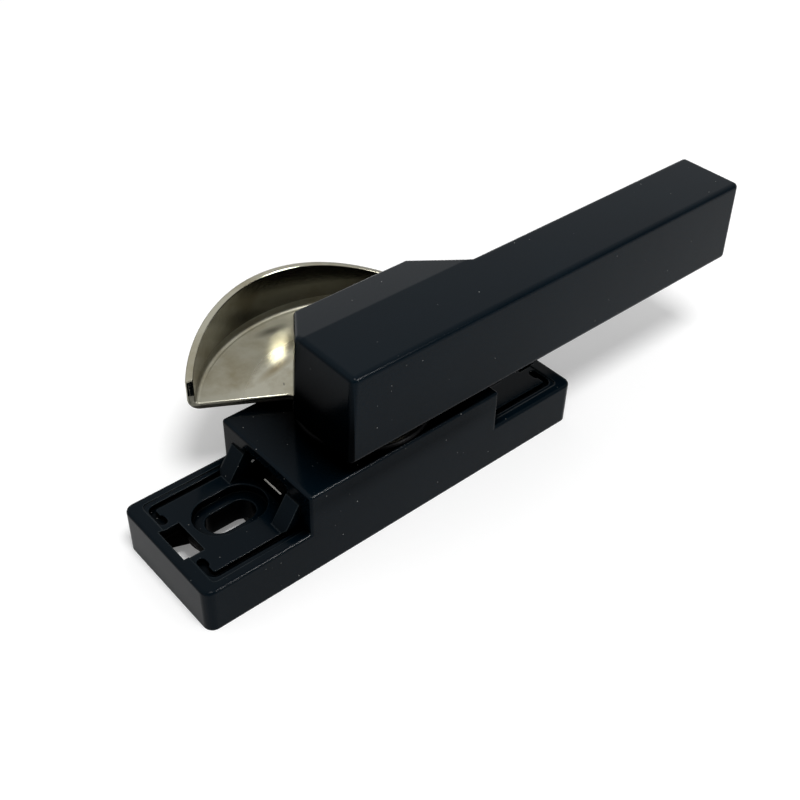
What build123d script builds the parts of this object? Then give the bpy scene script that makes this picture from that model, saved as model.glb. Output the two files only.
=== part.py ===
from build123d import *
import os
from math import asin, cos, degrees, radians, sin, sqrt, tan

# Crescent lock for a sliding window, in millimetres.
# The origin is on the back (mounting) face, on the pivot axis. +Z leaves the mounting face,
# +X runs along the case toward the grip when locked, and +Y points to the keeper side.
# The part is drawn locked. The lever opens clockwise, over the -Y side, through half a turn.

# Base case: a hollow die-casting with a screw platform at each end of a raised block
base_wid = 22.5          # overall width, the same for platforms and block
pad_h = 8.0              # height of the screw platforms
block_h = 15.5           # height of the middle block
case_wall = 1.8          # side and end walls
pad_top_t = 2.0          # top wall of a platform
block_top_t = 1.7        # top wall of the block
boss_drop = 0.8          # bearing boss under the block's top wall
boss_rim = 0.6           # metal of that boss outside the stop pins
case_corner_r = 1.6      # upright corners of the case
case_edge_r = 0.5        # rounded upper edges of the case

# Screw slots, two on the long axis, for pan-head screws of 4 mm
screw_pitch = 50.0       # centre to centre of the two slots
slot_side = 0.95         # the slots lie this far off the centre line, to the keeper side
slot_w = 4.5             # width of the through slot
slot_len = 8.4           # end to end length of the through slot
head_w = 8.2             # width of the counterbore for the screw head
head_depth = 1.7         # depth of the counterbore
ledge_t = 1.5            # metal left under the screw head
slot_wall = 1.1          # wall of the pillar round each slot
pillar_lift = 2.1        # the pillars stop this far above the mounting face
block_gap = 0.05         # from a counterbore to the end of the middle block
catch_gap = 1.35         # from a counterbore to the catch hole
web_t = 1.2              # webs from each pillar to the case's end wall
web_off = 1.75           # start of a web, from the slot's centre line
web_turn = 21.0          # a web spreads outward by this angle, degrees

# Seat for a push-fit screw cover: a shallow step, a groove for its rim and a hole for its catch
seat_depth = 0.2         # the seat lies this far under the platform's border
seat_side = 1.5          # width of the border along the case's sides
seat_end = 2.3           # width of the border at the case's end
seat_corner_r = 0.9
groove_w = 1.0
groove_depth = 0.9       # from the seat to the groove's floor
groove_side = 2.8        # from the case's side to the groove's centre line
groove_end = 3.1         # from the case's end to the groove's centre line
groove_turn_r = 0.9      # radius of the groove's centre line at its corner
hook_wid = 1.4           # the groove ends in a wider hook
hook_len = 2.1
hook_stop = 4.5          # the hook stops this far from the centre line
catch_end = 1.5          # from the case's end to the catch hole
catch_len = 3.45         # size of the catch hole along the case
catch_wid = 6.9          # size of the catch hole across the case
lip_r = 0.15             # rounded upper edges of the slots and grooves

# Gusset ramps and the open window between them, at both ends of the block
ramp_in = 5.45           # inner side of a ramp, from the centre line
ramp_t = 3.2             # thickness of a ramp
ramp_run = 3.1           # how far a ramp reaches over the platform
ramp_rise = 4.3          # how far a ramp climbs the block
ramp_top = 0.2           # flat top of a ramp against the block
ramp_cut = 0.8           # its lower outer edge is cut back over the groove, by this height
window_top = 13.6        # height of the window's upper edge above the mounting face
sill_in = 0.35           # the platform reaches this far in under the window

# Back plate that closes the block from below, with four countersunk screws
plate_t = 1.5
plate_gap = 0.15         # gap round the plate
plate_corner_r = 1.0
post_in = 5.9            # screw posts from the block's ends, inward
post_inset = 2.8         # screw posts from the block's side walls, inward
post_r = 3.0
plate_screw_r = 1.1
plate_screw_len = 6.0
plate_screw_head_r = 2.1
plate_screw_head_t = 1.1
plate_screw_slot = 0.5   # width of the cross recess
plate_screw_gap = 0.05   # gap between a plate screw and its hole
plate_screw_spare = 0.55 # depth of its hole past the screw's tip

# Pivot shaft and its bearings
shaft_r = 4.0            # journal in the upper bush
shaft_foot_r = 3.0       # journal in the lower bush
shaft_foot_z = 1.8       # lower end of the shaft
shaft_flat = 3.3         # half the width across the flats that drive the detent disc
shaft_collar_r = 5.4     # collar that rests on the upper bush
shaft_square = 7.0       # square that drives the crescent
shaft_square_r = 0.8     # rounded corners of the square
rivet_head_r = 5.4       # peened head over the crescent
rivet_head_t = 1.3
shaft_chamfer = 0.4
run_gap = 0.04           # radial running clearance of the shaft in its bushes
press_gap = 0.01         # line fit of pieces pressed together
key_gap = 0.03           # gap in keyed and riveted holes
bush_wall = 1.4          # wall of both bushes
bush_flange_w = 1.6      # how far the upper bush's flange stands out
bush_flange_t = 1.0
foot_bush_len = 3.0
foot_socket_wall = 1.2   # wall of the socket for the lower bush on the back plate

# Washers and clip on the shaft
thrust_t = 0.7           # black slip washer between case and crescent
thrust_r = 10.9
thrust_gap = 0.2         # radial gap of the slip washer round the shaft's collar
shim_t = 0.3
shim_w = 2.4             # width of the shim's ring
clip_t = 0.8
clip_r = 5.2
clip_depth = 0.7         # depth of the clip's groove in the shaft
clip_mouth = 50.0        # opening of the clip, degrees

# Detent: a leaf spring with two pips under a dimpled disc, and two stop pins
disc_t = 1.8
disc_r = 7.4
lug_w = 3.0              # width of the stop lug
lug_angle = 180.0        # where the lug points when locked, degrees from +X
stop_pin_r = 0.8
stop_pin_hold = 1.6      # length pressed into the block's top wall
stop_gap = 0.1           # gap between lug and pin at each limit
disc_gap = 0.25          # gap between the disc's edge and the stop pins
pin_cover = 0.45         # how far the lug reaches past the pins' centres
turn = 180.0             # travel of the lever, degrees
leaf_t = 0.45
leaf_w = 4.2
leaf_in = 1.1            # its ends stop this far inside the block's ends
leaf_lead = 2.7          # it lies flat from this far inside its rests
leaf_gap = 0.2           # room beside the leaf in its rests, and at the clip
leaf_rim = 0.4           # how far the leaf's ring stands out past the disc
rest_z = 8.3             # height of the cast rests under the ends of the leaf
rest_t = 1.8             # thickness of those rests, along the case
pip_r = 0.9              # radius of a pip where it leaves the leaf
pip_h = 0.4
pip_gap = 0.3            # room round a pip in its dimple

# Crescent: pressed steel plate with a turned-up rim
crescent_t = 1.24
hub_r = 10.0             # round middle of the crescent
rim_in_r = 25.7          # inner face of the rim
rim_h = 10.0             # rim height at its middle, from the plate's underside
rim_end_drop = 5.0       # how much lower the rim is at its ends
bend_r = 1.9             # outer radius of the bend
side_slope = 30.0        # slope of the crescent's straight sides, degrees from X
side_off = 2.2           # distance of those sides from the pivot
hub_fillet_r = 1.5
crescent_edge_r = 0.25   # tumbled round after the cutting

# Handle: a cored die-casting, staked to the crescent by three studs
handle_back = 11.8       # from the pivot to the foot of the near end
handle_reach = 76.6      # from the pivot to the foot of the free end
handle_near = 11.4       # from the pivot to the near side, at -Y
bar_w = 12.3
handle_h = 15.7
head_w_extra = 8.6       # how far the head stands out beyond the bar, at +Y
head_far_x = 22.5        # where the head leaves the bar, from the pivot
head_near_cut = 6.2      # the head's near corner is cut back by this along X
head_far_cut = 5.8       # the head's far corner is cut back by this along X
head_drop = 2.3          # the head's top falls by this to its edge
head_draft = 2.5         # draft of the head's upright faces, degrees
end_draft = 3.0          # draft of the near end and of the free end, degrees
handle_edge_r = 0.9      # rounded outer edges
handle_wall = 1.9
handle_top_t = 2.2
rib_t = 1.4
rib_pitch = 11.5         # spacing of the cross ribs in the grip
rib_drop = 2.5           # ribs stop this far above the grip's lower edge
stud_r = 1.4
stud_pitch_r = 7.5       # studs from the pivot
stud_angles = (40.0, 200.0, 320.0)
stud_boss_r = 1.8

# Tolerance for picking edges by their place
near_by = 0.01

# Lengths along the case, from the pivot outward
head_len = slot_len - slot_w + head_w
half_block = screw_pitch / 2 - head_len / 2 - block_gap
half_len = screw_pitch / 2 + head_len / 2 + catch_gap + catch_len + catch_end
half_wid = base_wid / 2
wall_x = half_block - case_wall
rest_x = wall_x - rest_t
post_x = half_block - post_in
leaf_half = half_block - leaf_in
leaf_flat = rest_x - leaf_lead

# Heights worked out from the sizes above
ceiling_z = block_h - block_top_t
boss_z = ceiling_z - boss_drop
bush_flange_z = boss_z - bush_flange_t
shim_z = bush_flange_z - shim_t
disc_z = shim_z - disc_t
clip_z = disc_z - clip_t
crescent_z = block_h + thrust_t
handle_z = crescent_z + crescent_t
handle_top_z = handle_z + handle_h
bar_far_y = bar_w - handle_near
head_far_y = bar_far_y + head_w_extra
inner_half_wid = half_wid - case_wall
pad_roof_z = pad_h - pad_top_t
seat_z = pad_h - seat_depth
head_z = pad_h - head_depth

# Radii worked out from the sizes above
bush_in_r = shaft_r + run_gap
bush_out_r = bush_in_r + bush_wall
foot_in_r = shaft_foot_r + run_gap
foot_out_r = foot_in_r + bush_wall
rim_out_r = rim_in_r + crescent_t
leaf_hole_r = clip_r + leaf_gap
leaf_ring_r = disc_r + leaf_rim
pin_pitch_r = disc_r + disc_gap + stop_pin_r
boss_r = pin_pitch_r + stop_pin_r + boss_rim
lug_r = pin_pitch_r + pin_cover
pip_pitch_r = (leaf_hole_r + disc_r) / 2
pip_ball_r = (pip_r**2 + pip_h**2) / (2 * pip_h)
stop_half_angle = degrees(asin((lug_w / 2 + stop_pin_r + stop_gap) / pin_pitch_r))


def block(x0, x1, y0, y1, z0, z1):
    """A box between two corners."""
    centre = ((x0 + x1) / 2, (y0 + y1) / 2, (z0 + z1) / 2)
    return Pos(*centre) * Box(x1 - x0, y1 - y0, z1 - z0)


def rod(r, z0, z1, x=0.0, y=0.0):
    """An upright round bar."""
    return Pos(x, y, (z0 + z1) / 2) * Cylinder(r, z1 - z0)


def obround(length, width, z0, z1):
    """An upright bar of slot shape, long along X."""
    face = SlotOverall(length, width)
    return extrude(Pos(0, 0, z0) * face, z1 - z0)


def at_both_ends(piece):
    """A feature of the far end of the case, and its mirror image at the near end."""
    return piece + mirror(piece, Plane.YZ)


def edges_at(part, test):
    """The edges whose middle passes a test."""
    return [e for e in part.edges() if test(e, e.position_at(0.5))]


def case_shell():
    """Outside of the case with its rounded corners and edges."""
    body = block(-half_len, half_len, -half_wid, half_wid, 0, pad_h)
    body += block(-half_block, half_block, -half_wid, half_wid, 0, block_h)
    corners = edges_at(body, lambda e, p: abs(p.X) > half_len - near_by and abs(p.Y) > half_wid - near_by)
    body = fillet(corners, case_corner_r)
    low = min(pad_h, block_h) / 2
    rounded = edges_at(
        body,
        lambda e, p: p.Z > low + near_by
        and (abs(p.Y) > half_wid - near_by or abs(p.X) > half_len - case_corner_r or p.Z > block_h - near_by),
    )
    return fillet(rounded, case_edge_r)


def seat_step():
    """Cutter for the shallow step of the cover's seat at the far end."""
    step_x = half_len - seat_end
    step_y = half_wid - seat_side
    step = block(half_block, step_x, -step_y, step_y, seat_z, pad_h + 1)
    outer = edges_at(step, lambda e, p: p.X > step_x - near_by and abs(abs(p.Y) - step_y) < near_by)
    return fillet(outer, seat_corner_r)


def seat_grooves():
    """Cutter for the two hooked grooves of the cover's seat at the far end."""
    x_end = half_len - groove_end
    y_run = half_wid - groove_side
    y_end = hook_stop + hook_len / 2
    path = FilletPolyline((half_block, y_run), (x_end, y_run), (x_end, y_end), radius=groove_turn_r)
    hook_x = x_end + (groove_w - hook_wid) / 2
    plan = trace(path, line_width=groove_w)
    plan += Pos(hook_x, y_end) * Rot(0, 0, 90) * SlotOverall(hook_len, hook_wid)
    half = extrude(Pos(0, 0, seat_z - groove_depth) * plan, groove_depth + lip_r)
    return half + mirror(half, Plane.XZ)


def screw_slot():
    """Cutter for the far screw slot: the through slot and the counterbore for the head."""
    slot = obround(slot_len, slot_w, -1, pad_h + 1)
    slot += obround(head_len, head_w, head_z, pad_h + 1)
    return Pos(screw_pitch / 2, slot_side, 0) * slot


def slot_pillar():
    """Metal round the far screw slot: a thick ring under the counterbore and a tube below it."""
    low_z = head_z - ledge_t
    pillar = obround(head_len + 2 * slot_wall, head_w + 2 * slot_wall, low_z, seat_z - lip_r)
    pillar += obround(slot_len + 2 * slot_wall, slot_w + 2 * slot_wall, pillar_lift, low_z + lip_r)
    pillar = Pos(screw_pitch / 2, slot_side, 0) * pillar
    return pillar & block(half_block, half_len, -half_wid, half_wid, 0, pad_h)


def pillar_webs():
    """Two webs that spread from the far pillar to the case's end wall."""
    start_x = (screw_pitch + slot_len - slot_w) / 2
    webs = []
    for side in (1, -1):
        web = block(0, half_len, -web_t / 2, web_t / 2, pillar_lift, pad_roof_z + lip_r)
        web = Pos(start_x, slot_side + side * web_off, 0) * Rot(0, 0, side * web_turn) * web
        webs.append(web & block(start_x, half_len - case_wall / 2, -half_wid, half_wid, 0, pad_h))
    return webs


def ramps():
    """The two gusset ramps of the far end, on either side of the window."""
    low = seat_z - lip_r
    side = make_face(
        Polyline(
            (half_block, low),
            (half_block + ramp_run, low),
            (half_block + ramp_run, seat_z),
            (half_block + ramp_top, pad_h + ramp_rise),
            (half_block - case_wall / 2, pad_h + ramp_rise),
            (half_block - case_wall / 2, low),
            close=True,
        )
    )
    ramp = extrude(Plane.XZ * side, ramp_t / 2, both=True)
    ramp = Pos(0, ramp_in + ramp_t / 2, 0) * ramp
    groove_y = half_wid - groove_side - groove_w / 2
    outer_y = ramp_in + ramp_t + lip_r
    cut = make_face(
        Polyline(
            (groove_y, low - 1),
            (outer_y, low - 1),
            (outer_y, seat_z + ramp_cut),
            (groove_y, seat_z),
            close=True,
        )
    )
    ramp -= extrude(Plane.YZ * cut, half_len)
    return ramp + mirror(ramp, Plane.XZ)


def base_case():
    """The die-cast case: two screw platforms, a hollow block, ramps, ribs and pillars."""
    body = case_shell()
    open_end = half_block + case_wall
    body -= at_both_ends(
        block(open_end, half_len - case_wall, -inner_half_wid, inner_half_wid, 0, pad_roof_z)
    )
    body -= block(-wall_x, wall_x, -inner_half_wid, inner_half_wid, 0, ceiling_z)
    body -= block(-half_block, half_block, -inner_half_wid, inner_half_wid, 0, plate_t)
    body -= at_both_ends(seat_step())
    body += at_both_ends(slot_pillar())
    for web in pillar_webs():
        body += at_both_ends(web)
    body -= at_both_ends(screw_slot())
    body = fillet(slot_edges(body), lip_r)
    body -= at_both_ends(seat_grooves())
    body = fillet(groove_edges(body), lip_r)
    catch_x = half_len - catch_end
    body -= at_both_ends(
        block(catch_x - catch_len, catch_x, -catch_wid / 2, catch_wid / 2, pad_roof_z - 1, pad_h + 1)
    )
    body += at_both_ends(ramps())
    sill_x = half_block - sill_in
    body -= at_both_ends(block(wall_x, sill_x, -ramp_in, ramp_in, plate_t, window_top))
    body -= at_both_ends(block(wall_x, half_block, -ramp_in, ramp_in, seat_z, window_top))

    rest = block(rest_x, rest_x + rest_t, -inner_half_wid, inner_half_wid, plate_t, rest_z)
    cheek_y = leaf_w / 2 + leaf_gap
    for side in (1, -1):
        cheek = block(rest_x, rest_x + rest_t, cheek_y, cheek_y + case_wall, rest_z - 1, rest_z + leaf_t)
        rest += cheek if side == 1 else mirror(cheek, Plane.XZ)
    body += at_both_ends(rest)

    post_y = inner_half_wid - post_inset
    for x in (-post_x, post_x):
        for y in (-post_y, post_y):
            body += rod(post_r, plate_t, ceiling_z + lip_r, x, y)
            hole_r = plate_screw_r + plate_screw_gap
            body -= rod(hole_r, plate_t - 1, plate_screw_len + plate_screw_spare, x, y)

    body += rod(boss_r, boss_z, ceiling_z + lip_r)
    body -= rod(bush_out_r + press_gap, boss_z - 1, block_h + 1)
    for x, y in stop_pin_places():
        body -= rod(stop_pin_r + press_gap, boss_z - 1, boss_z + stop_pin_hold, x, y)
    return body


def slot_edges(body):
    """Upper edges of the counterbores and of the through slots."""
    def in_slot(e, p):
        x = abs(abs(p.X) - screw_pitch / 2)
        y = abs(p.Y - slot_side)
        on_seat = abs(p.Z - seat_z) < near_by and x < head_len / 2 + near_by and y < head_w / 2 + near_by
        on_ledge = abs(p.Z - head_z) < near_by and x < (slot_len + head_len) / 4 and y < (slot_w + head_w) / 4
        return on_seat or on_ledge

    return edges_at(body, in_slot)


def groove_edges(body):
    """Upper edges of the grooves of the cover's seat."""
    outer_x = half_len - groove_end + groove_w / 2 + near_by
    outer_y = half_wid - groove_side + groove_w / 2 + near_by
    return edges_at(
        body,
        lambda e, p: abs(p.Z - seat_z) < near_by
        and half_block + near_by < abs(p.X) < outer_x
        and hook_stop - near_by < abs(p.Y) < outer_y
        and abs(p.Y - slot_side) > head_w / 2 + 2 * lip_r,
    )


def stop_pin_places():
    """Centres of the two stop pins, one just past each limit of the lug's travel."""
    angles = (lug_angle + stop_half_angle, lug_angle - turn - stop_half_angle)
    return [
        (pin_pitch_r * cos(radians(a)), pin_pitch_r * sin(radians(a)))
        for a in angles
    ]


def stop_pin(place):
    """Steel pin pressed into the top wall of the block."""
    x, y = place
    low = disc_z + leaf_gap
    pin = rod(stop_pin_r, low, boss_z + stop_pin_hold, x, y)
    return chamfer(pin.edges().group_by(Axis.Z)[0], stop_pin_r / 5)


def back_plate():
    """Cast plate, flush with the case's rim, with a blind socket for the lower bush."""
    half_x = half_block - plate_gap
    half_y = inner_half_wid - plate_gap
    plate = block(-half_x, half_x, -half_y, half_y, 0, plate_t)
    plate = fillet(plate.edges().filter_by(Axis.Z), plate_corner_r)
    plate += rod(foot_out_r + foot_socket_wall, plate_t - lip_r, plate_t + foot_bush_len)
    plate -= rod(foot_out_r + press_gap, plate_t, plate_t + foot_bush_len + 1)
    for x, y in plate_screw_places():
        plate -= rod(plate_screw_r + plate_screw_gap, -1, plate_t + 1, x, y)
        sink_r = plate_screw_head_r + plate_screw_gap
        deep = plate_screw_head_t + plate_screw_gap
        plate -= Pos(x, y, deep / 2) * Cone(sink_r, plate_screw_r + plate_screw_gap, deep)
    return plate


def plate_screw_places():
    """Centres of the four screws of the back plate."""
    y = inner_half_wid - post_inset
    return [(-post_x, -y), (-post_x, y), (post_x, -y), (post_x, y)]


def plate_screw(place):
    """Countersunk screw with a cross recess, its head flush with the mounting face."""
    x, y = place
    head = Pos(0, 0, plate_screw_head_t / 2) * Cone(plate_screw_head_r, plate_screw_r, plate_screw_head_t)
    screw = head + rod(plate_screw_r, plate_screw_head_t - lip_r, plate_screw_len)
    screw = chamfer(screw.edges().group_by(Axis.Z)[-1], plate_screw_r / 3)
    for wide, deep in ((plate_screw_head_r, plate_screw_slot), (plate_screw_slot, plate_screw_head_r)):
        screw -= block(-wide / 2, wide / 2, -deep / 2, deep / 2, -1, plate_screw_head_t / 2)
    return Pos(x, y, 0) * screw


def upper_bush():
    """Flanged bearing pressed into the block's top wall from inside."""
    bush = rod(bush_out_r, bush_flange_z, block_h)
    bush += rod(bush_out_r + bush_flange_w, bush_flange_z, boss_z)
    return bush - rod(bush_in_r, bush_flange_z - 1, block_h + 1)


def lower_bush():
    """Plain bearing for the shaft's foot."""
    bush = rod(foot_out_r, plate_t, plate_t + foot_bush_len)
    return bush - rod(foot_in_r, plate_t - 1, plate_t + foot_bush_len + 1)


def thrust_washer():
    """Black slip washer that the crescent turns on."""
    washer = rod(thrust_r, block_h, crescent_z)
    washer = chamfer(washer.edges().group_by(Axis.Z)[-1], thrust_t / 3)
    return washer - rod(shaft_collar_r + thrust_gap, block_h - 1, crescent_z + 1)


def double_d(r, half_flat, z0, z1):
    """A round bar with two flats, facing +Y and -Y."""
    return rod(r, z0, z1) & block(-r, r, -half_flat, half_flat, z0, z1)


def square_bar(size, corner, z0, z1):
    """An upright square bar with rounded corners."""
    return extrude(Pos(0, 0, z0) * RectangleRounded(size, size, corner), z1 - z0)


def pivot_shaft():
    """Turned steel shaft: foot, flats, journal, collar, square and peened head."""
    foot = rod(shaft_foot_r, shaft_foot_z, clip_z)
    foot = chamfer(foot.edges().group_by(Axis.Z)[0], shaft_chamfer)
    neck_r = shaft_r - clip_depth
    neck = rod(neck_r, clip_z - clip_t, disc_z)
    land = rod(shaft_r, clip_z - 2 * clip_t, clip_z)
    keyed = double_d(shaft_r, shaft_flat, disc_z, shim_z)
    journal = rod(shaft_r, shim_z, block_h)
    collar = rod(shaft_collar_r, block_h, crescent_z)
    square = square_bar(shaft_square, shaft_square_r, crescent_z, handle_z)
    head = rod(rivet_head_r, handle_z, handle_z + rivet_head_t)
    head = fillet(head.edges().group_by(Axis.Z)[-1], rivet_head_t / 2)
    return foot + neck + land + keyed + journal + collar + square + head


def retaining_clip():
    """Open spring clip in the shaft's groove, under the disc."""
    clip = rod(clip_r, clip_z, disc_z) - rod(shaft_r - clip_depth + press_gap, clip_z - 1, disc_z + 1)
    reach = clip_r + 1
    wide = reach * sin(radians(clip_mouth / 2))
    mouth = make_face(Polyline((0, 0), (reach, wide), (reach, -wide), close=True))
    return clip - extrude(Pos(0, 0, clip_z - 1) * mouth, clip_t + 2)


def shim_washer():
    """Thin steel washer between the disc and the upper bush."""
    r = shaft_r + run_gap
    return rod(r + shim_w, shim_z, bush_flange_z) - rod(r, shim_z - 1, bush_flange_z + 1)


def detent_disc():
    """Disc keyed to the shaft, with a stop lug and two dimples underneath."""
    lug = block(-lug_r, 0, -lug_w / 2, lug_w / 2, disc_z, shim_z) & rod(lug_r, disc_z, shim_z)
    disc = rod(disc_r, disc_z, shim_z) + Rot(0, 0, lug_angle - 180) * lug
    disc -= double_d(shaft_r + key_gap, shaft_flat + key_gap, disc_z - 1, shim_z + 1)
    ball_z = disc_z + pip_h - pip_ball_r
    for side in (-1, 1):
        disc -= Pos(side * pip_pitch_r, 0, ball_z) * Sphere(pip_ball_r + pip_gap)
    return disc


def detent_spring():
    """Strip of spring steel, raised to a ring in the middle, with two round pips."""
    end_z = rest_z
    mid_z = disc_z - leaf_t
    low = [
        (-leaf_half, end_z), (-leaf_flat, end_z), (-leaf_ring_r, mid_z),
        (leaf_ring_r, mid_z), (leaf_flat, end_z), (leaf_half, end_z),
    ]
    high = [(x, z + leaf_t) for x, z in reversed(low)]
    side = make_face(Polyline(*low, *high, close=True))
    strip = extrude(Plane.XZ * side, leaf_ring_r, both=True)
    plan = Rectangle(2 * leaf_half, leaf_w) + Circle(leaf_ring_r)
    plan -= Circle(leaf_hole_r)
    deep = abs(mid_z - end_z) + 2
    strip &= extrude(Pos(0, 0, min(end_z, mid_z) - 1) * plan, deep + leaf_t)
    ball_z = disc_z + pip_h - pip_ball_r
    for side in (-1, 1):
        ball = Pos(side * pip_pitch_r, 0, ball_z) * Sphere(pip_ball_r)
        above = block(-half_len, half_len, -half_wid, half_wid, mid_z + leaf_t / 2, block_h)
        strip += ball & above
    return strip


def crescent():
    """Pressed plate: round hub, flat sector and a turned-up rim, lower at its two ends."""
    pan = make_face(
        Polyline(
            (0, 0), (rim_out_r, 0), (rim_out_r, rim_h), (rim_in_r, rim_h),
            (rim_in_r, crescent_t), (0, crescent_t), close=True,
        )
    )
    outer = pan.vertices().sort_by(lambda v: (v.X - rim_out_r) ** 2 + v.Y**2)[0]
    pan = fillet(outer, bend_r)
    inner = pan.vertices().sort_by(lambda v: (v.X - rim_in_r) ** 2 + (v.Y - crescent_t) ** 2)[0]
    pan = fillet(inner, bend_r - crescent_t)
    pan = revolve(Plane.XZ * pan, Axis.Z)

    tilt = radians(side_slope)
    apex = (0, side_off / cos(tilt))
    reach = 2 * rim_out_r
    left = (-reach * cos(tilt), apex[1] + reach * sin(tilt))
    right = (-left[0], left[1])
    plan = make_face(Polyline(apex, right, (right[0], reach), (left[0], reach), left, close=True))
    plate = pan & extrude(plan, rim_h)

    end_x = rim_out_r * cos(tilt)
    low_z = rim_h - rim_end_drop
    arc = ThreePointArc((-end_x, low_z), (0, rim_h), (end_x, low_z))
    top_z = 2 * rim_h
    lid = Polyline((end_x, low_z), (end_x, top_z), (-end_x, top_z), (-end_x, low_z))
    over = make_face([arc, lid])
    plate -= extrude(Plane.XZ * over, 2 * rim_out_r, both=True)

    plate += rod(hub_r, 0, crescent_t)
    inside = edges_at(
        plate,
        lambda e, p: e.length < crescent_t + near_by
        and abs(p.Z - crescent_t / 2) < near_by
        and abs(sqrt(p.X**2 + p.Y**2) - hub_r) < near_by,
    )
    plate = fillet(inside, hub_fillet_r)
    plate = fillet(plate.edges(), crescent_edge_r)
    plate = Pos(0, 0, crescent_z) * plate
    plate -= square_bar(shaft_square + 2 * key_gap, shaft_square_r, crescent_z - 1, handle_z + 1)
    for x, y in stud_places():
        plate -= rod(stud_r + key_gap, crescent_z - 1, handle_z + 1, x, y)
    return plate


def stud_places():
    """Centres of the studs that stake the handle to the crescent."""
    return [(stud_pitch_r * cos(radians(a)), stud_pitch_r * sin(radians(a))) for a in stud_angles]


def handle_bar(far_y):
    """A bar with the handle's drafted ends, from its near side to a given far side."""
    lean = handle_h * tan(radians(end_draft))
    side = make_face(
        Polyline(
            (-handle_back, handle_z),
            (handle_reach, handle_z),
            (handle_reach - lean, handle_top_z),
            (lean - handle_back, handle_top_z),
            close=True,
        )
    )
    return Pos(0, far_y, 0) * extrude(Plane.XZ * side, far_y + handle_near)


def handle_outside():
    """Outside of the handle: a square grip, and a head with a sloping top and drafted faces."""
    grip = handle_bar(bar_far_y)
    spread = handle_h * tan(radians(head_draft))
    foot_y = head_far_y + spread
    root_y = bar_far_y - bar_w / 2
    near_slope = head_near_cut / head_w_extra
    far_slope = head_far_cut / head_w_extra
    near_lean = spread * sqrt(1 + near_slope**2)
    far_lean = spread * sqrt(1 + far_slope**2)
    near_x = near_slope * (foot_y - bar_far_y) - handle_back - near_lean
    far_x = head_far_x - far_slope * (foot_y - bar_far_y) + far_lean
    foot = make_face(
        Polyline(
            (near_x - near_slope * (foot_y - root_y), root_y),
            (far_x + far_slope * (foot_y - root_y), root_y),
            (far_x, foot_y),
            (near_x, foot_y),
            close=True,
        )
    )
    head = extrude(Pos(0, 0, handle_z) * foot, handle_h, taper=head_draft)
    head &= handle_bar(2 * foot_y)
    fall = 2 * head_drop
    slope = make_face(
        Polyline(
            (bar_far_y, handle_top_z),
            (bar_far_y + 2 * head_w_extra, handle_top_z - fall),
            (bar_far_y + 2 * head_w_extra, handle_top_z + 1),
            (bar_far_y, handle_top_z + 1),
            close=True,
        )
    )
    head -= extrude(Plane.YZ * slope, 2 * handle_reach, both=True)
    body = grip + head
    return fillet(body.edges(), handle_edge_r)


def handle_core():
    """What is cored out from below: the inside of the handle, less its ribs and bosses."""
    near = handle_wall - handle_back
    low_y = handle_wall - handle_near
    high_y = bar_far_y - handle_wall
    head_y = head_far_y - handle_wall
    inside = make_face(
        Polyline(
            (near, low_y),
            (handle_reach - handle_wall, low_y),
            (handle_reach - handle_wall, high_y),
            (head_far_x - handle_wall, high_y),
            (head_far_x - head_far_cut - handle_wall, head_y),
            (head_near_cut - handle_back + handle_wall, head_y),
            (near, high_y + handle_wall / 2),
            close=True,
        )
    )
    roof_z = handle_top_z - handle_top_t - head_drop
    core = extrude(Pos(0, 0, handle_z) * inside, roof_z - handle_z)
    rib_z = handle_z + rib_drop
    count = int((handle_reach - handle_wall - head_far_x) / rib_pitch)
    for n in range(count):
        x = head_far_x + (n + 0.5) * rib_pitch
        core -= block(x - rib_t / 2, x + rib_t / 2, -handle_near, bar_far_y, rib_z, roof_z)
    middle = (low_y + high_y) / 2
    core -= block(hub_r, handle_reach, middle - rib_t / 2, middle + rib_t / 2, rib_z, roof_z)
    for x, y in stud_places():
        core -= rod(stud_boss_r, handle_z, roof_z, x, y)
    return core


def handle():
    """Lever cored from below, with three studs that are staked in the crescent."""
    body = handle_outside() - handle_core()
    for x, y in stud_places():
        body += rod(stud_r, crescent_z + key_gap, handle_z + 1, x, y)
    return body


pieces = {
    "base_case": base_case(),
    "back_plate": back_plate(),
    "upper_bush": upper_bush(),
    "lower_bush": lower_bush(),
    "thrust_washer": thrust_washer(),
    "detent_spring": detent_spring(),
    "pivot_shaft": pivot_shaft(),
    "retaining_clip": retaining_clip(),
    "shim_washer": shim_washer(),
    "detent_disc": detent_disc(),
    "crescent": crescent(),
    "handle": handle(),
}
for number, place in enumerate(plate_screw_places(), 1):
    pieces[f"plate_screw_{number}"] = plate_screw(place)
for name, place in zip(("stop_pin_locked", "stop_pin_open"), stop_pin_places()):
    pieces[name] = stop_pin(place)

os.makedirs("parts", exist_ok=True)
for name, piece in pieces.items():
    export_step(piece, f"parts/{name}.step")
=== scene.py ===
from math import cos, pi, radians, sin

import bmesh
import bpy
from mathutils import Matrix, Vector

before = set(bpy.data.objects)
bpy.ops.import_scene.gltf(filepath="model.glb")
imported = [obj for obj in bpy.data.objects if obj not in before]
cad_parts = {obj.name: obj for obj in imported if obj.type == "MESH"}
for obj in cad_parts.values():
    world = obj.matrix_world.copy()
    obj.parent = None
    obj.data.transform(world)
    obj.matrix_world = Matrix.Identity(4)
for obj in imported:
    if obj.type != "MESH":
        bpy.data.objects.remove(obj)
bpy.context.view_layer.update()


# Camera: a still camera over the near end of the case, looking along it, a little rolled to the
# right. Its place, turns and lens were fitted to the straight edges of the lock.
camera_place = (-0.08615, -0.10501, 0.13144)
camera_yaw, camera_pitch, camera_roll = 41.818, 40.201, 1.685
camera_lens, camera_sensor = 51.28, 36.0
nearest_seen, farthest_seen = 0.005, 20.0

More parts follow.
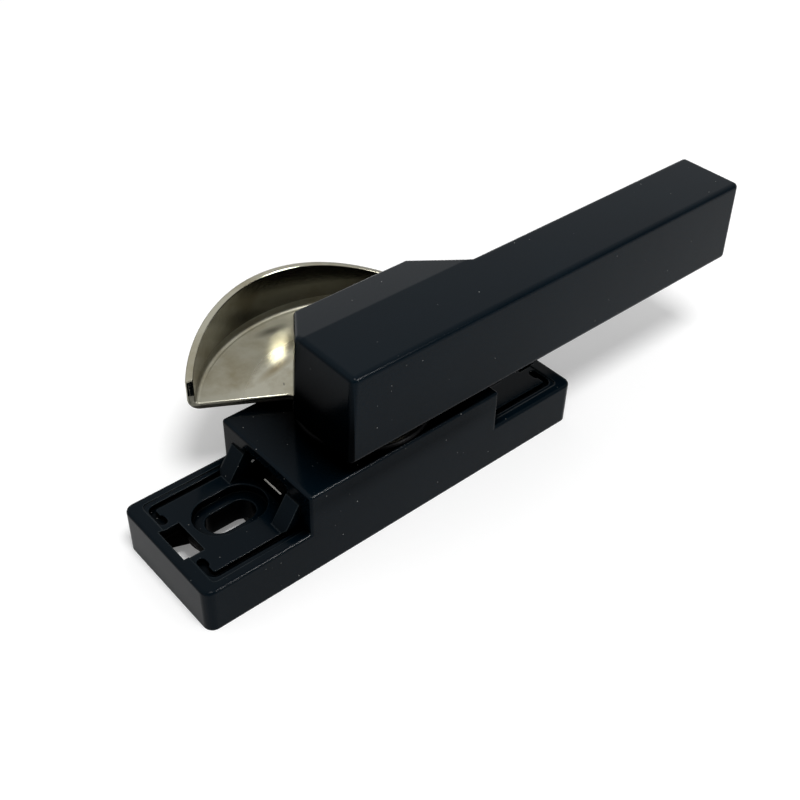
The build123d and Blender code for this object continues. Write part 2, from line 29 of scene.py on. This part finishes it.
scene = bpy.context.scene
scene.view_settings.view_transform = "Standard"
lens = bpy.data.cameras.new("camera")
lens.lens = camera_lens
lens.sensor_width = camera_sensor
lens.clip_start = nearest_seen
lens.clip_end = farthest_seen
camera = bpy.data.objects.new("camera", lens)
camera.matrix_world = (
    Matrix.Translation(camera_place)
    @ Matrix.Rotation(-radians(camera_yaw), 4, "Z")
    @ Matrix.Rotation(pi / 2 - radians(camera_pitch), 4, "X")
    @ Matrix.Rotation(radians(camera_roll), 4, "Z")
)
scene.collection.objects.link(camera)
scene.camera = camera


# Room: pale walls in even light, brighter overhead. Only reflections see the brighter ceiling and
# the darker side at -Y, behind the camera. That side draws the dark bands along the rounded edges of
# the coat and across the nickel.
wall_light = 0.5
horizon_gloss, ceiling_gloss, ceiling_from = 0.62, 1.3, 0.7
dark_side_gloss, dark_side_y, light_side_y = 0.28, -0.75, -0.15
background_white = 1.0
white_light = (1.0, 1.0, 1.0, 1.0)


def node(tree, kind, inputs=(), **settings):
    """Adds a node. Inputs are values, or the sockets that they are linked from."""
    made = tree.nodes.new(kind)
    for name, value in settings.items():
        setattr(made, name, value)
    for name, value in dict(inputs).items():
        if isinstance(value, bpy.types.NodeSocket):
            tree.links.new(value, made.inputs[name])
        else:
            made.inputs[name].default_value = value
    return made


def straight_rays(tree):
    """One for rays from the camera, a mirror or glass, and zero for those that carry light."""
    ray = node(tree, "ShaderNodeLightPath").outputs
    mirrored = node(
        tree, "ShaderNodeMath", {0: ray["Is Glossy Ray"], 1: ray["Is Transmission Ray"]}, operation="MAXIMUM"
    )
    return node(
        tree, "ShaderNodeMath", {0: ray["Is Camera Ray"], 1: mirrored.outputs[0]}, operation="MAXIMUM"
    ).outputs[0]


room = bpy.data.worlds.new("white_room")
scene.world = room
room.use_nodes = True
tree = room.node_tree
tree.nodes.clear()
way = node(tree, "ShaderNodeSeparateXYZ", {0: node(tree, "ShaderNodeTexCoord").outputs["Generated"]}).outputs
ceiling = node(
    tree, "ShaderNodeMapRange",
    {
        "Value": way["Z"], "From Min": 0.0, "From Max": ceiling_from,
        "To Min": horizon_gloss, "To Max": ceiling_gloss,
    },
)
side = node(
    tree, "ShaderNodeMapRange",
    {
        "Value": way["Y"], "From Min": dark_side_y, "From Max": light_side_y,
        "To Min": dark_side_gloss, "To Max": 1.0,
    },
)
mirrored_walls = node(
    tree, "ShaderNodeMath", {0: ceiling.outputs["Result"], 1: side.outputs["Result"]}, operation="MULTIPLY"
)
shown = node(
    tree, "ShaderNodeMix",
    {
        "Factor": node(tree, "ShaderNodeLightPath").outputs["Is Camera Ray"],
        "A": mirrored_walls.outputs[0], "B": background_white,
    },
    data_type="FLOAT",
)
lighting = node(tree, "ShaderNodeBackground", {"Color": white_light, "Strength": wall_light})
background = node(tree, "ShaderNodeBackground", {"Color": white_light, "Strength": shown.outputs["Result"]})
walls = node(
    tree, "ShaderNodeMixShader",
    {0: straight_rays(tree), 1: lighting.outputs["Background"], 2: background.outputs["Background"]},
)
node(tree, "ShaderNodeOutputWorld", {"Surface": walls.outputs["Shader"]})


# Lamps: two soft ones. The one overhead makes the soft shadows beside the case and under the grip.
# The edge lamp, low at the front right, is seen in the gloss alone. It draws the thin bright lines
# along the near edges.
overhead_way, overhead_far, overhead_size, overhead_watts = (-0.05, -0.30, 0.95), 0.9, 0.3, 4.6
edge_way, edge_far, edge_wide, edge_tall, edge_watts = (0.36, -0.73, 0.58), 0.8, 0.17, 0.05, 6.0


def soft_lamp(name, way, far, wide, tall, watts):
    """An oval soft lamp that shines at the origin from a direction and a distance."""
    lamp = bpy.data.lights.new(name, "AREA")
    lamp.shape = "ELLIPSE"
    lamp.size = wide
    lamp.size_y = tall
    lamp.energy = watts
    holder = bpy.data.objects.new(name, lamp)
    way = Vector(way).normalized()
    turn = way.to_track_quat("Z", "Y").to_matrix().to_4x4()
    holder.matrix_world = Matrix.Translation(way * far) @ turn
    scene.collection.objects.link(holder)
    return holder


soft_lamp("overhead_lamp", overhead_way, overhead_far, overhead_size, overhead_size, overhead_watts)
edge_lamp = soft_lamp("edge_lamp", edge_way, edge_far, edge_wide, edge_tall, edge_watts)
edge_lamp.visible_diffuse = False


# Floor: a sheet of smooth white card, matt, with a faint fibre. It keeps the lock's shadow. For the
# camera and in mirrors it glows a little, and more far away, where the lamps no longer reach it, so
# that it stays white up to its edge.
paper_half = 3.0
paper_colour = "#f4f4f4"
fibre_mm = 1.1           # length of a fibre in the card
fibre_relief, fibre_height = 0.04, 0.0002
near_glow, far_glow, glow_from, glow_to = 0.18, 0.54, 0.15, 1.1


def linear(text):
    """A colour written as sRGB hex, as the linear colour that Blender works in."""
    parts = [int(text[i:i + 2], 16) / 255 for i in (1, 3, 5)]
    return [c / 12.92 if c <= 0.04045 else ((c + 0.055) / 1.055) ** 2.4 for c in parts] + [1.0]


def scale_for(size_mm):
    """The scale of a pattern whose features are this many millimetres across."""
    return 1000.0 / size_mm


def empty_material(name):
    """A material with nothing in it but its output."""
    material = bpy.data.materials.new(name)
    material.use_nodes = True
    material.node_tree.nodes.clear()
    node(material.node_tree, "ShaderNodeOutputMaterial")
    return material


def show(material, shader):
    """Links a shader to a material's output."""
    output = material.node_tree.nodes["Material Output"]
    material.node_tree.links.new(shader, output.inputs["Surface"])


paper = empty_material("smooth_white_card")
tree = paper.node_tree
where = node(tree, "ShaderNodeTexCoord").outputs["Object"]
fibres = node(tree, "ShaderNodeTexNoise", {"Vector": where, "Scale": scale_for(fibre_mm), "Detail": 4.0})
bump = node(
    tree, "ShaderNodeBump",
    {"Height": fibres.outputs["Fac"], "Strength": fibre_relief, "Distance": fibre_height},
)
card = node(
    tree, "ShaderNodeBsdfPrincipled",
    {
        "Base Color": linear(paper_colour), "Roughness": 0.9, "Specular IOR Level": 0.1,
        "Normal": bump.outputs["Normal"],
    },
)
away = node(tree, "ShaderNodeVectorMath", {0: where}, operation="LENGTH")
lift = node(
    tree, "ShaderNodeMapRange",
    {
        "Value": away.outputs["Value"], "From Min": glow_from, "From Max": glow_to,
        "To Min": near_glow, "To Max": far_glow,
    },
)
glow = node(tree, "ShaderNodeMath", {0: straight_rays(tree), 1: lift.outputs["Result"]}, operation="MULTIPLY")
lifted = node(tree, "ShaderNodeEmission", {"Color": white_light, "Strength": glow.outputs[0]})
lit = node(tree, "ShaderNodeAddShader", {0: card.outputs["BSDF"], 1: lifted.outputs["Emission"]})
show(paper, lit.outputs["Shader"])

sheet = bmesh.new()
bmesh.ops.create_grid(sheet, x_segments=1, y_segments=1, size=paper_half)
floor = bpy.data.objects.new("floor", bpy.data.meshes.new("floor"))
sheet.to_mesh(floor.data)
sheet.free()
floor.data.materials.append(paper)
scene.collection.objects.link(floor)


# Base case and back plate: zinc die-castings, blasted and then coated in black by dipping and
# baking. The coat is a thin dark lacquer: satin, nearly black from above and greyer at low angles,
# with a faint ripple under it. It is lighter on sharp edges, partly from a thinner coat and partly
# as painted highlight, and takes dust. Painted shade darkens it and its reflection in recesses,
# between the block and the handle, low down and on the faces that look along the case.
coat_tones = "#020a11", "#041119"
coat_gloss = 0.11, 0.19
coat_ior = 1.14
coat_sheen = 0.02, 0.5   # the coat's reflection where the painted shade is deepest, and in the open
ripple_mm = 3.8          # waves of the casting under the coat
grain_mm = 0.31          # grain of the blasted surface, drawn coarser than the real 0.1 mm to show
patch_mm = 18.0          # duller and glossier patches from baking and handling
relief_strength, relief_height = 0.06, 0.00012
edge_round = 0.0004      # how wide a sharp edge is rounded by the coat
# Lighter on sharp edges: partly a thinner coat, partly painted highlight along the edges.
thin_from, thin_to, thin_share = 0.97, 0.80, 0.5
thin_coat_and_highlight_colour = "#4a5356"
dust_mm = 1.4            # spacing of the specks of dust
dust_rim, dust_core, dust_share = 0.08, 0.03, 0.7
dust_colour = "#b9bab6"

# Painted shade: in the recesses, in the gap between the block and the handle, low down on the case,
# and on the faces that look along the case.
recess_reach, recess_dark, recess_open = 0.010, 0.45, 0.82
gap_reach, gap_dark, gap_open = 0.030, 0.60, 0.95
block_from, block_to, below_block = 0.010, 0.013, 0.78
gap_x_from, gap_x_to = 0.035, 0.012
ends_from, end_light = 0.8, 0.62

# Painted shade on the handle's near end: it would mirror the dark block, so its colour and reflection
# are painted to fade toward its foot.
handle_from = 0.0165
handle_end_x, handle_end_t = -0.0114, 0.0006
foot_z, head_z, foot_light, head_light = 0.023, 0.034, 0.12, 0.95


def dress(material, *names):
    """Gives CAD nodes a finished material."""
    for name in names:
        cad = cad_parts[name]
        cad.data.materials.clear()
        cad.data.materials.append(material)


def satin_coat(name, dust_shift, dust_from):
    """The black coat of a die-casting. Less dust settles as dust_from, from 0 to 1, goes up."""
    material = empty_material(name)
    tree = material.node_tree
    where = node(tree, "ShaderNodeTexCoord").outputs["Object"]
    place = node(tree, "ShaderNodeSeparateXYZ", {0: where}).outputs

    # Relief and gloss.
    ripple = node(
        tree, "ShaderNodeTexNoise",
        {"Vector": where, "Scale": scale_for(ripple_mm), "Detail": 2.0, "Roughness": 0.4},
    )
    grain = node(
        tree, "ShaderNodeTexNoise",
        {"Vector": where, "Scale": scale_for(grain_mm), "Detail": 3.0, "Roughness": 0.6},
    )
    patch = node(
        tree, "ShaderNodeTexNoise",
        {"Vector": where, "Scale": scale_for(patch_mm), "Detail": 5.0, "Roughness": 0.62},
    ).outputs["Fac"]
    relief = node(
        tree, "ShaderNodeMath", {0: ripple.outputs["Fac"], 1: grain.outputs["Fac"]}, operation="ADD"
    )
    rounded = node(tree, "ShaderNodeBevel", {"Radius": edge_round}, samples=6).outputs["Normal"]
    bump = node(
        tree, "ShaderNodeBump",
        {
            "Height": relief.outputs[0], "Strength": relief_strength, "Distance": relief_height,
            "Normal": rounded,
        },
    )
    gloss = node(
        tree, "ShaderNodeMapRange",
        {"Value": patch, "From Min": 0.3, "From Max": 0.7, "To Min": coat_gloss[0], "To Max": coat_gloss[1]},
    )

    # Painted shade: recesses go dark, from the piece's own walls alone.
    own = node(tree, "ShaderNodeAmbientOcclusion", {"Distance": recess_reach}, samples=8, only_local=True)
    recess = node(
        tree, "ShaderNodeMapRange",
        {"Value": own.outputs["AO"], "From Min": recess_dark, "From Max": recess_open},
    )

    # Painted shade: above the platforms, near the middle, the block and the handle darken each other.
    # Below 10 mm the whole case is painted a little darker.
    others = node(tree, "ShaderNodeAmbientOcclusion", {"Distance": gap_reach}, samples=8)
    beside = node(
        tree, "ShaderNodeMapRange",
        {"Value": others.outputs["AO"], "From Min": gap_dark, "From Max": gap_open},
    )
    high = node(
        tree, "ShaderNodeMapRange", {"Value": place["Z"], "From Min": block_from, "From Max": block_to}
    )
    aside = node(tree, "ShaderNodeMath", {0: place["X"]}, operation="ABSOLUTE")
    central = node(
        tree, "ShaderNodeMapRange", {"Value": aside.outputs[0], "From Min": gap_x_from, "From Max": gap_x_to}
    )
    around = node(
        tree, "ShaderNodeMath", {0: high.outputs["Result"], 1: central.outputs["Result"]},
        operation="MULTIPLY",
    )
    low = node(
        tree, "ShaderNodeMapRange",
        {
            "Value": place["Z"], "From Min": block_from, "From Max": block_to,
            "To Min": below_block, "To Max": 1.0,
        },
    )
    painted_gap_and_low_shade = node(
        tree, "ShaderNodeMix",
        {"Factor": around.outputs[0], "A": low.outputs["Result"], "B": beside.outputs["Result"]},
        data_type="FLOAT",
    )
    painted_recess_and_gap_shade = node(
        tree, "ShaderNodeMath", {0: recess.outputs["Result"], 1: painted_gap_and_low_shade.outputs["Result"]},
        operation="MULTIPLY",
    )

    # Painted shade: faces that look along the case are drawn darker, in colour and reflection.
    facing = node(tree, "ShaderNodeNewGeometry").outputs["Normal"]
    along = node(tree, "ShaderNodeSeparateXYZ", {0: facing}).outputs["X"]
    end_on = node(tree, "ShaderNodeMath", {0: along}, operation="ABSOLUTE")
    ends = node(
        tree, "ShaderNodeMapRange",
        {
            "Value": end_on.outputs[0], "From Min": ends_from, "From Max": 1.0,
            "To Min": 1.0, "To Max": end_light,
        },
    )
    outer = node(
        tree, "ShaderNodeMath", {0: painted_recess_and_gap_shade.outputs[0], 1: ends.outputs["Result"]}, operation="MULTIPLY"
    )

    # Painted shade on the handle's near end.
    at_end = node(
        tree, "ShaderNodeMath", {0: place["X"], 1: handle_end_x, 2: handle_end_t}, operation="COMPARE"
    )
    on_handle = node(tree, "ShaderNodeMath", {0: place["Z"], 1: handle_from}, operation="GREATER_THAN")
    near_end = node(
        tree, "ShaderNodeMath", {0: at_end.outputs[0], 1: on_handle.outputs[0]}, operation="MULTIPLY"
    )
    fade = node(
        tree, "ShaderNodeMapRange",
        {
            "Value": place["Z"], "From Min": foot_z, "From Max": head_z,
            "To Min": foot_light, "To Max": head_light,
        },
    )
    dimmed = node(
        tree, "ShaderNodeMix",
        {"Factor": near_end.outputs[0], "A": 1.0, "B": fade.outputs["Result"]}, data_type="FLOAT",
    )
    clear = node(
        tree, "ShaderNodeMath", {0: outer.outputs[0], 1: dimmed.outputs["Result"]}, operation="MULTIPLY"
    ).outputs[0]

    # Colour: two near blacks, lighter on sharp edges (a thinner coat and painted highlight), and
    # painted shade that takes it to black in recesses and the other shaded places.
    tone = node(
        tree, "ShaderNodeMix",
        {"Factor": patch, "A": linear(coat_tones[0]), "B": linear(coat_tones[1])}, data_type="RGBA",
    )
    bent = node(tree, "ShaderNodeVectorMath", {0: rounded, 1: facing}, operation="DOT_PRODUCT")
    thin = node(
        tree, "ShaderNodeMapRange",
        {"Value": bent.outputs["Value"], "From Min": thin_from, "From Max": thin_to, "To Max": thin_share},
    )
    thin_coat_and_highlight = node(
        tree, "ShaderNodeMix",
        {"Factor": thin.outputs["Result"], "A": tone.outputs["Result"], "B": linear(thin_coat_and_highlight_colour)},
        data_type="RGBA",
    )
    shaded = node(
        tree, "ShaderNodeMix",
        {"Factor": clear, "A": linear("#000000"), "B": thin_coat_and_highlight.outputs["Result"]}, data_type="RGBA",
    )

    # Dust: a round speck in some of the cells, and fainter in others.
    shifted = node(tree, "ShaderNodeVectorMath", {0: where, 1: (dust_shift, 0.0, 0.0)}, operation="ADD")
    cells = node(
        tree, "ShaderNodeTexVoronoi", {"Vector": shifted.outputs["Vector"], "Scale": scale_for(dust_mm)}
    )
    spot = node(
        tree, "ShaderNodeMapRange",
        {
            "Value": cells.outputs["Distance"], "From Min": dust_rim, "From Max": dust_core,
            "To Max": dust_share,
        },
    )
    chance = node(tree, "ShaderNodeSeparateColor", {"Color": cells.outputs["Color"]})
    few = node(
        tree, "ShaderNodeMapRange", {"Value": chance.outputs["Red"], "From Min": dust_from, "From Max": 1.0}
    )
    dust = node(
        tree, "ShaderNodeMath", {0: spot.outputs["Result"], 1: few.outputs["Result"]}, operation="MULTIPLY"
    )
    skin = node(
        tree, "ShaderNodeMix",
        {"Factor": dust.outputs[0], "A": shaded.outputs["Result"], "B": linear(dust_colour)},
        data_type="RGBA",
    )
    # Painted shade on the reflection: the factor that darkens the colour weakens it too.
    painted_shade_sheen = node(
        tree, "ShaderNodeMapRange", {"Value": clear, "To Min": coat_sheen[0], "To Max": coat_sheen[1]}
    )
    coat = node(
        tree, "ShaderNodeBsdfPrincipled",
        {
            "Base Color": skin.outputs["Result"], "Roughness": gloss.outputs["Result"], "IOR": coat_ior,
            "Specular IOR Level": painted_shade_sheen.outputs["Result"], "Normal": bump.outputs["Normal"],
        },
    )
    show(material, coat.outputs["BSDF"])
    return material


case_coat = satin_coat("satin_black_coat_case", 0.3, 0.6)
dress(case_coat, "base_case", "back_plate")

# A painted glint in the case's coat, at the window's jamb on the crescent's side: a small spot of
# near-white rough metal.
glint_place, glint_r = (-0.0175, 0.0054, 0.0100), 0.00028
tree = case_coat.node_tree
where = node(tree, "ShaderNodeTexCoord").outputs["Object"]
away = node(tree, "ShaderNodeVectorMath", {0: where, 1: glint_place}, operation="DISTANCE")
glint_spot = node(tree, "ShaderNodeMath", {0: away.outputs["Value"], 1: glint_r}, operation="LESS_THAN")
# The painted glint: a near-white, half metallic, rough surface in the spot.
zinc = node(
    tree, "ShaderNodeBsdfPrincipled", {"Base Color": linear("#f0f0ee"), "Metallic": 0.5, "Roughness": 0.7}
)
coat = tree.nodes["Principled BSDF"].outputs["BSDF"]
with_glint = node(tree, "ShaderNodeMixShader", {0: glint_spot.outputs[0], 1: coat, 2: zinc.outputs["BSDF"]})
show(case_coat, with_glint.outputs["Shader"])


# Four countersunk screws that hold the back plate: steel, cold headed, with a bright zinc plating
# that looks bluish white and slightly uneven. They are driven from below into the case.
screw_colour, screw_dull = "#c9cbcc", 0.35
screw_marks_mm = 0.65    # marks of the heading dies, drawn coarser than the real 0.1 mm to show
marks_relief, marks_height, marks_spread = 0.1, 0.00005, 0.08


def bright_metal(name, colour, roughness, marks_mm):
    """Turned, headed, rolled or sintered metal with marks or pores of this size in millimetres."""
    material = empty_material(name)
    tree = material.node_tree
    where = node(tree, "ShaderNodeTexCoord").outputs["Object"]
    marks = node(tree, "ShaderNodeTexNoise", {"Vector": where, "Scale": scale_for(marks_mm), "Detail": 4.0})
    gloss = node(
        tree, "ShaderNodeMapRange",
        {
            "Value": marks.outputs["Fac"], "To Min": roughness - marks_spread,
            "To Max": roughness + marks_spread,
        },
    )
    bump = node(
        tree, "ShaderNodeBump",
        {"Height": marks.outputs["Fac"], "Strength": marks_relief, "Distance": marks_height},
    )
    metal = node(
        tree, "ShaderNodeBsdfPrincipled",
        {
            "Base Color": linear(colour), "Metallic": 1.0, "Roughness": gloss.outputs["Result"],
            "Normal": bump.outputs["Normal"],
        },
    )
    show(material, metal.outputs["BSDF"])
    return material


zinc_plate = bright_metal("zinc_plated_screw", screw_colour, screw_dull, screw_marks_mm)
dress(zinc_plate, *[f"plate_screw_{i}" for i in (1, 2, 3, 4)])


# Shaft, detent disc, shim and stop pins: free-cutting steel, turned and left bright, with fine
# turning marks. They sit inside the case, and only the window shows a little of them.
turned_colour, turned_dull = "#c4c4c2", 0.25
turning_mm = 0.8         # turning marks, drawn coarser than the real 0.1 mm to show
turned_steel = bright_metal("turned_steel", turned_colour, turned_dull, turning_mm)
dress(turned_steel, "pivot_shaft", "detent_disc", "shim_washer", "stop_pin_locked", "stop_pin_open")


# Detent spring and retaining clip: cold-rolled spring steel, punched, bright and smooth.
# The spring lies on rests inside the block. Its punched end is rougher, as a break is, and whiter,
# partly as painted highlight, so that it shows as the thin bright line in the window.
rolled_colour, rolled_dull = "#d3d0c9", 0.22
rolling_mm = 0.55        # rolling marks, drawn coarser than the real 0.05 mm to show
punched_highlight_colour, punched_metal, punched_dull = "#f2f0ea", 0.6, 0.8
punched_x, punched_z = 0.0176, 0.0086
spring_steel = bright_metal("cold_rolled_spring_steel", rolled_colour, rolled_dull, rolling_mm)
tree = spring_steel.node_tree
place = node(tree, "ShaderNodeSeparateXYZ", {0: node(tree, "ShaderNodeTexCoord").outputs["Object"]}).outputs
aside = node(tree, "ShaderNodeMath", {0: place["X"]}, operation="ABSOLUTE")
tip = node(tree, "ShaderNodeMath", {0: aside.outputs[0], 1: punched_x}, operation="GREATER_THAN")
upper = node(tree, "ShaderNodeMath", {0: place["Z"], 1: punched_z}, operation="GREATER_THAN")
punched = node(tree, "ShaderNodeMath", {0: tip.outputs[0], 1: upper.outputs[0]}, operation="MULTIPLY")
# The punched end: rougher, and whiter in part as painted highlight.
broken_lit_end = node(
    tree, "ShaderNodeBsdfPrincipled",
    {"Base Color": linear(punched_highlight_colour), "Metallic": punched_metal, "Roughness": punched_dull},
)
rolled = tree.nodes["Principled BSDF"].outputs["BSDF"]
both = node(tree, "ShaderNodeMixShader", {0: punched.outputs[0], 1: rolled, 2: broken_lit_end.outputs["BSDF"]})
show(spring_steel, both.outputs["Shader"])
dress(spring_steel, "detent_spring", "retaining_clip")


# The two bushes: sintered bronze, pressed from powder and soaked in oil. It looks like dull brass
# with fine open pores. One sits in the block's top wall, the other in a socket of the back plate.
bronze_colour, bronze_dull = "#b08d57", 0.5
pore_mm = 0.38           # pores, drawn coarser than the real 0.05 mm to show
dress(bright_metal("sintered_bronze", bronze_colour, bronze_dull, pore_mm), "upper_bush", "lower_bush")


# Slip washer under the crescent: black nylon, punched from sheet. It is matt and darker than the
# coat around it, and only its edge catches a thin line of light.
nylon_colour, nylon_dull, nylon_ior = "#050506", 0.35, 1.10
nylon_grain_mm = 0.4     # the sheet's grain, drawn coarser than the real 0.05 mm to show
nylon_relief, nylon_height = 0.15, 0.00008
nylon = empty_material("matt_black_nylon")
tree = nylon.node_tree
where = node(tree, "ShaderNodeTexCoord").outputs["Object"]
grain = node(tree, "ShaderNodeTexNoise", {"Vector": where, "Scale": scale_for(nylon_grain_mm), "Detail": 3.0})
rounded = node(tree, "ShaderNodeBevel", {"Radius": edge_round}, samples=6)
bump = node(
    tree, "ShaderNodeBump",
    {
        "Height": grain.outputs["Fac"], "Strength": nylon_relief, "Distance": nylon_height,
        "Normal": rounded.outputs["Normal"],
    },
)
plastic = node(
    tree, "ShaderNodeBsdfPrincipled",
    {
        "Base Color": linear(nylon_colour), "Roughness": nylon_dull, "IOR": nylon_ior,
        "Normal": bump.outputs["Normal"],
    },
)
show(nylon, plastic.outputs["BSDF"])
dress(nylon, "thrust_washer")


# Crescent: steel sheet, blanked, its rim turned up in a press, tumbled and nickel plated.
# The plating is a warm grey mirror gone soft: cloudy, a little stained, duller where the sheet was
# drawn round the bend, with a dark break along its cut edge.
nickel_colour, cloud_colour = "#929083", "#7b7562"
nickel_gloss = 0.08, 0.16
cloud_mm = 8.3           # clouds in the plating
cloud_from, cloud_to = 0.45, 0.7
scratch_mm = 0.7         # tumbling marks, drawn coarser than the real 0.1 mm to show
scratch_relief, scratch_height = 0.12, 0.00008
stains = (               # centre x and y, turn in degrees, half length, half width, colour
    (-0.0067, 0.0139, 14.0, 0.0046, 0.0011, "#6f654c"),
    (-0.0014, 0.0226, -4.0, 0.0034, 0.0012, "#4c4a42"),
    (-0.0078, 0.0100, 60.0, 0.0005, 0.0002, "#2b2a26"),
)
stain_edge, stain_core, stain_share = 1.5, 0.6, 0.8

nickel = empty_material("tumbled_nickel_plate")
tree = nickel.node_tree
where = node(tree, "ShaderNodeTexCoord").outputs["Object"]
place = node(tree, "ShaderNodeSeparateXYZ", {0: where}).outputs
cloud = node(
    tree, "ShaderNodeTexNoise",
    {"Vector": where, "Scale": scale_for(cloud_mm), "Detail": 6.0, "Roughness": 0.6},
).outputs["Fac"]
scratches = node(tree, "ShaderNodeTexNoise", {"Vector": where, "Scale": scale_for(scratch_mm), "Detail": 4.0})
cloudy = node(tree, "ShaderNodeMapRange", {"Value": cloud, "From Min": cloud_from, "From Max": cloud_to})
tone = node(
    tree, "ShaderNodeMix",
    {"Factor": cloudy.outputs["Result"], "A": linear(nickel_colour), "B": linear(cloud_colour)},
    data_type="RGBA",
).outputs["Result"]
for x, y, turn, half_long, half_wide, colour in stains:
    oval = node(
        tree, "ShaderNodeMapping",
        {
            "Vector": where, "Location": (x, y, 0.0), "Rotation": (0.0, 0.0, radians(turn)),
            "Scale": (half_long, half_wide, 1.0),
        },
        vector_type="TEXTURE",
    )
    away = node(tree, "ShaderNodeVectorMath", {0: oval.outputs["Vector"]}, operation="LENGTH")
    ragged = node(tree, "ShaderNodeMath", {0: away.outputs["Value"], 1: cloud}, operation="ADD")
    stain = node(
        tree, "ShaderNodeMapRange",
        {"Value": ragged.outputs[0], "From Min": stain_edge, "From Max": stain_core, "To Max": stain_share},
    )
    tone = node(
        tree, "ShaderNodeMix",
        {"Factor": stain.outputs["Result"], "A": tone, "B": linear(colour)}, data_type="RGBA",
    ).outputs["Result"]

# The pan rises toward the rim and the rim's foot flares into it, each by a millimetre at the most.
dish_from, dish_to, dish_height = 0.0180, 0.0250, 0.0010
rim_inner_r = 0.0264
flare_top, flare_foot, flare_share = 0.0215, 0.0170, 0.35
flat = node(tree, "ShaderNodeVectorMath", {0: where, 1: (1.0, 1.0, 0.0)}, operation="MULTIPLY")
radius = node(tree, "ShaderNodeVectorMath", {0: flat.outputs["Vector"]}, operation="LENGTH").outputs["Value"]
toward_rim = node(tree, "ShaderNodeMapRange", {"Value": radius, "From Min": dish_from, "From Max": dish_to})
rising = node(tree, "ShaderNodeMath", {0: toward_rim.outputs["Result"], 1: 2.0}, operation="POWER")
inside = node(tree, "ShaderNodeMath", {0: radius, 1: rim_inner_r}, operation="LESS_THAN")
rim_foot = node(
    tree, "ShaderNodeMapRange", {"Value": place["Z"], "From Min": flare_top, "From Max": flare_foot}
)
flare = node(tree, "ShaderNodeMath", {0: rim_foot.outputs["Result"], 1: 2.0}, operation="POWER")
flared = node(tree, "ShaderNodeMath", {0: flare.outputs[0], 1: inside.outputs[0]}, operation="MULTIPLY")
pressed = node(
    tree, "ShaderNodeMath", {0: flared.outputs[0], 1: flare_share, 2: rising.outputs[0]},
    operation="MULTIPLY_ADD",
)
dish = node(tree, "ShaderNodeMath", {0: pressed.outputs[0], 1: dish_height}, operation="MULTIPLY")
dished = node(tree, "ShaderNodeBump", {"Height": dish.outputs[0], "Strength": 1.0, "Distance": 1.0})
bump = node(
    tree, "ShaderNodeBump",
    {
        "Height": scratches.outputs["Fac"], "Strength": scratch_relief, "Distance": scratch_height,
        "Normal": dished.outputs["Normal"],
    },
)

# The pan is duller than the rim, and most so where it was drawn.
pan_top, drawn_from, drawn_to = 0.0190, 0.0175, 0.0200
pan_share, drawn_dull = 0.2, 0.30
gloss = node(
    tree, "ShaderNodeMapRange",
    {"Value": cloud, "From Min": 0.3, "From Max": 0.7, "To Min": nickel_gloss[0], "To Max": nickel_gloss[1]},
)
bend = node(
    tree, "ShaderNodeMapRange",
    {"Value": radius, "From Min": drawn_from, "From Max": drawn_to, "To Min": pan_share},
)
on_pan = node(tree, "ShaderNodeMath", {0: place["Z"], 1: pan_top}, operation="LESS_THAN")
drawn = node(tree, "ShaderNodeMath", {0: bend.outputs["Result"], 1: on_pan.outputs[0]}, operation="MULTIPLY")
dulled = node(
    tree, "ShaderNodeMath", {0: drawn.outputs[0], 1: drawn_dull, 2: gloss.outputs["Result"]},
    operation="MULTIPLY_ADD",
)
plating = node(
    tree, "ShaderNodeBsdfPrincipled",
    {
        "Base Color": tone, "Metallic": 1.0, "Roughness": dulled.outputs[0], "Normal": bump.outputs["Normal"],
    },
)

# The lower part of the two straight cut sides, where the shears broke the steel.
side_slope, side_off, cut_t = radians(30.0), 0.0022, 0.00025
break_top, break_foot, break_share = 0.0170, 0.0168, 0.7
break_colour, break_dull = "#4d4b45", 0.5
aside = node(tree, "ShaderNodeMath", {0: place["X"]}, operation="ABSOLUTE")
drop = node(
    tree, "ShaderNodeMath", {0: aside.outputs[0], 1: sin(side_slope), 2: side_off}, operation="MULTIPLY_ADD"
)
rise = node(tree, "ShaderNodeMath", {0: place["Y"], 1: cos(side_slope)}, operation="MULTIPLY")
cut = node(tree, "ShaderNodeMath", {0: rise.outputs[0], 1: drop.outputs[0], 2: cut_t}, operation="COMPARE")
torn = node(
    tree, "ShaderNodeMapRange",
    {"Value": place["Z"], "From Min": break_top, "From Max": break_foot, "To Max": break_share},
)
sheared = node(tree, "ShaderNodeMath", {0: cut.outputs[0], 1: torn.outputs["Result"]}, operation="MULTIPLY")
raw_steel = node(
    tree, "ShaderNodeBsdfPrincipled",
    {
        "Base Color": linear(break_colour), "Metallic": 1.0, "Roughness": break_dull,
        "Normal": bump.outputs["Normal"],
    },
)
surface = node(
    tree, "ShaderNodeMixShader",
    {0: sheared.outputs[0], 1: plating.outputs["BSDF"], 2: raw_steel.outputs["BSDF"]},
)
show(nickel, surface.outputs["Shader"])
dress(nickel, "crescent")


# Handle: a cored zinc die-casting, staked to the crescent by three studs, with the case's black
# coat. It is handled more, so it holds less dust.
dress(satin_coat("satin_black_coat_handle", 1.1, 0.7), "handle")
